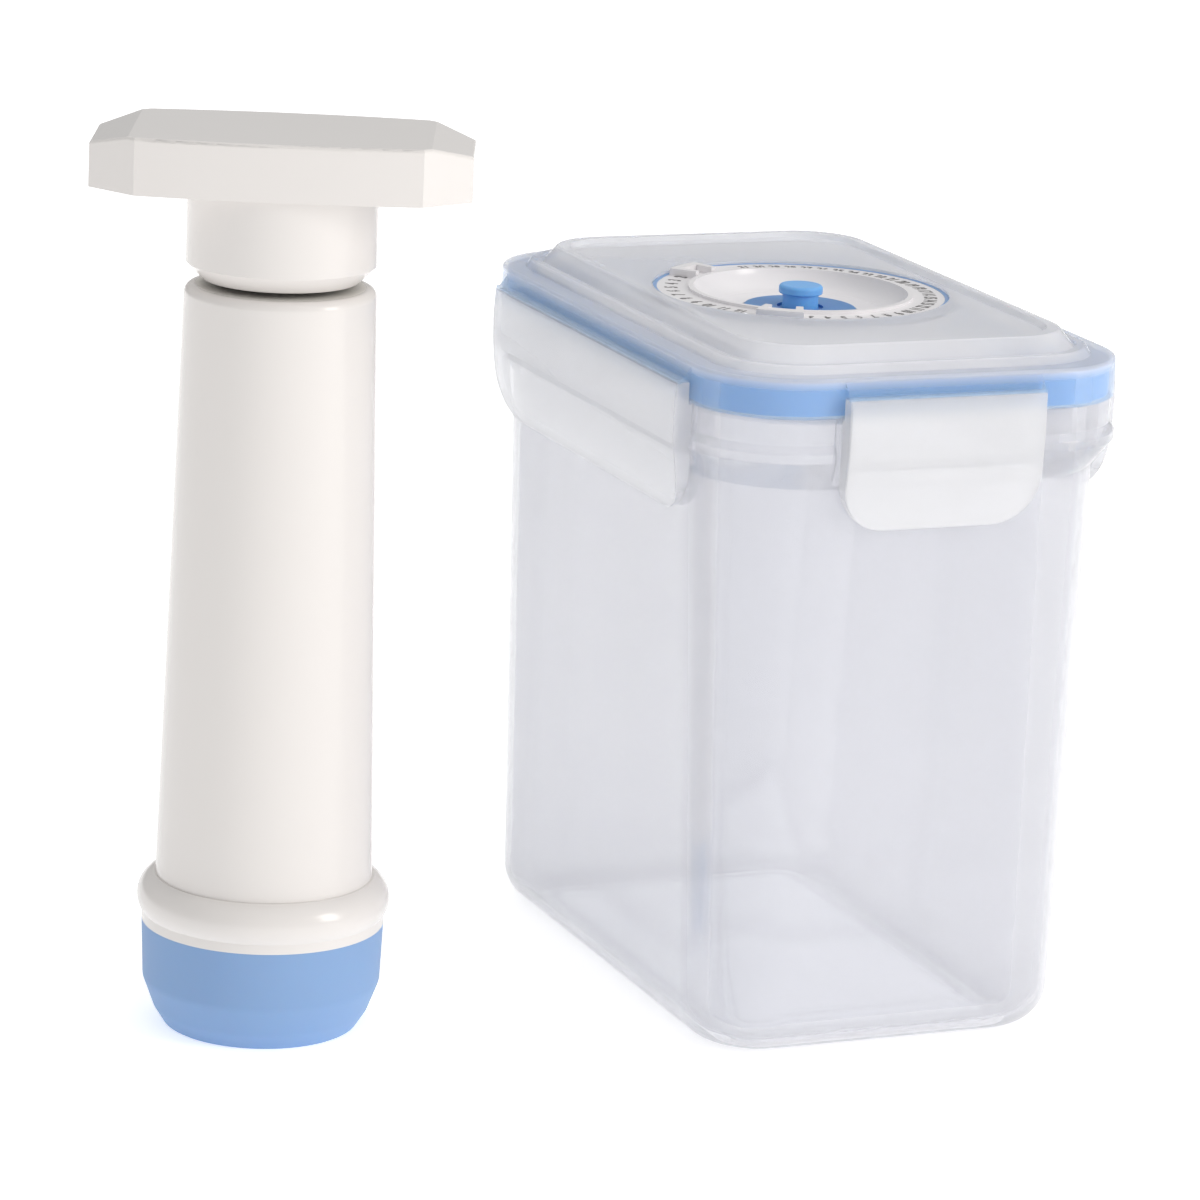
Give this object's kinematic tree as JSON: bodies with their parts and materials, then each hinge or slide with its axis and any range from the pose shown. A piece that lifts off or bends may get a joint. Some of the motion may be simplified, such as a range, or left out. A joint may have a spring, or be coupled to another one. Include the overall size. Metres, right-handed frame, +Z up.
{
  "type": "vacuum seal canister",
  "caption": "Clear tapered food canister with a snap-latch lid, date dial and release valve, and the hand pump that draws the air out.",
  "frame": {"origin": "centre of the canister's base, on the surface it stands on", "axes": "+Z up, X along the canister's short side, Y along its long side; the pump stands on the -X side"},
  "size_m": [0.2297, 0.1606, 0.2047],
  "materials": {
    "clear_box": "faintly frosted clear",
    "milky_lid": "satin, translucent",
    "latch_white": "glossy, translucent",
    "blue_silicone": "soft satin",
    "dial_white": "glossy",
    "valve_blue": "soft satin",
    "cup_blue": "soft satin",
    "pump_white": "glossy",
    "inner_white": "matt",
    "seal_grey": "matt"
  },
  "bodies": {
    "container": {"container": "clear_box"},
    "lid": {"lid": "milky_lid", "lid_gasket": "blue_silicone", "date_dial": "dial_white", "dial_seal": "blue_silicone"},
    "latch_front": {"latch_front": "latch_white"},
    "latch_back": {"latch_back": "latch_white"},
    "latch_left": {"latch_left": "latch_white"},
    "latch_right": {"latch_right": "latch_white"},
    "day_pointer": {"day_pointer": "dial_white"},
    "month_pointer": {"month_pointer": "dial_white"},
    "valve": {"valve_disc": "valve_blue", "valve_knob": "valve_blue", "valve_clip": "inner_white"},
    "pump": {"pump_cup": "cup_blue", "pump_foot_ring": "pump_white", "pump_barrel": "pump_white", "pump_tube": "inner_white", "inlet_plate": "inner_white", "inlet_flap": "seal_grey", "rod_guide": "inner_white"},
    "plunger": {"handle_grip": "pump_white", "handle_collar": "pump_white", "plunger_rod": "inner_white", "rod_nut": "inner_white", "piston": "inner_white", "piston_seal": "seal_grey", "exhaust_flap": "seal_grey"}
  },
  "joints": [
    {"name": "lid_lift", "type": "slide", "parent": "container", "child": "lid", "axis": [0, 0, 1], "range_m": [0, 0.06]},
    {"name": "latch_front_hinge", "type": "hinge", "parent": "lid", "child": "latch_front", "pos_m": [0, -0.0792, 0.1539], "axis": [-1, 0, 0], "range_deg": [0, 110]},
    {"name": "latch_back_hinge", "type": "hinge", "parent": "lid", "child": "latch_back", "pos_m": [0, 0.0792, 0.1539], "axis": [1, 0, 0], "range_deg": [0, 110]},
    {"name": "latch_left_hinge", "type": "hinge", "parent": "lid", "child": "latch_left", "pos_m": [-0.0537, 0, 0.1539], "axis": [0, 1, 0], "range_deg": [0, 110]},
    {"name": "latch_right_hinge", "type": "hinge", "parent": "lid", "child": "latch_right", "pos_m": [0.0537, 0, 0.1539], "axis": [0, -1, 0], "range_deg": [0, 110]},
    {"name": "day_pointer_turn", "type": "hinge", "parent": "lid", "child": "day_pointer", "pos_m": [0, 0, 0.1615], "axis": [0, 0, 1], "range_deg": [0, 225]},
    {"name": "month_pointer_turn", "type": "hinge", "parent": "lid", "child": "month_pointer", "pos_m": [0, 0, 0.1615], "axis": [0, 0, 1], "range_deg": [0, 90]},
    {"name": "valve_lift", "type": "slide", "parent": "lid", "child": "valve", "axis": [0, 0, 1], "range_m": [0, 0.0025]},
    {"name": "pump_lift", "type": "slide", "parent": "container", "child": "pump", "axis": [0, 0, 1], "range_m": [0, 0.1]},
    {"name": "plunger_stroke", "type": "slide", "parent": "pump", "child": "plunger", "axis": [0, 0, 1], "range_m": [0, 0.133]}
  ]
}
